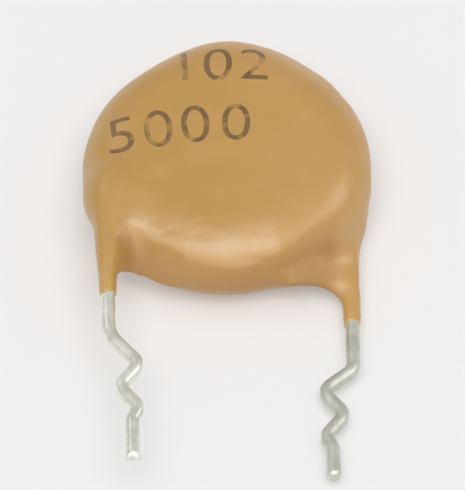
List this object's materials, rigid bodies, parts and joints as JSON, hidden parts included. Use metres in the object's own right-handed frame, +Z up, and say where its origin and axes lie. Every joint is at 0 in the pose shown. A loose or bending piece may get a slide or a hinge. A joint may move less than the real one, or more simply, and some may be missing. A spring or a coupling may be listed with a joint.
{
  "type": "ceramic disc capacitor",
  "caption": "Flat round ceramic disc capacitor dipped in glossy ochre resin, with crimped tinned wire leads that leave its opposite faces for a through-hole board.",
  "frame": {"origin": "where the disc's axis meets the flat rear face that the part rests on", "axes": "+Z up from the rest face along the disc's axis, +Y from the leads towards the crown of the coat, +X to the right as the front face is read with the leads down"},
  "size_m": [0.0118, 0.0218, 0.0039],
  "materials": {
    "resin": "glossy ochre dipped epoxy resin with a dimpled surface",
    "ceramic": "matt fired barium titanate ceramic",
    "electrode": "matt fired silver",
    "solder": "satin solder",
    "tinned_wire": "tinned wire with a soft shine",
    "tinned_wire_dull": "tinned wire gone dull"
  },
  "bodies": {
    "root": {"resin_coat": "resin", "ceramic_disc": "ceramic", "front_electrode": "electrode", "rear_electrode": "electrode", "front_solder": "solder", "rear_solder": "solder", "front_lead": "tinned_wire", "rear_lead": "tinned_wire_dull"}
  },
  "joints": []
}
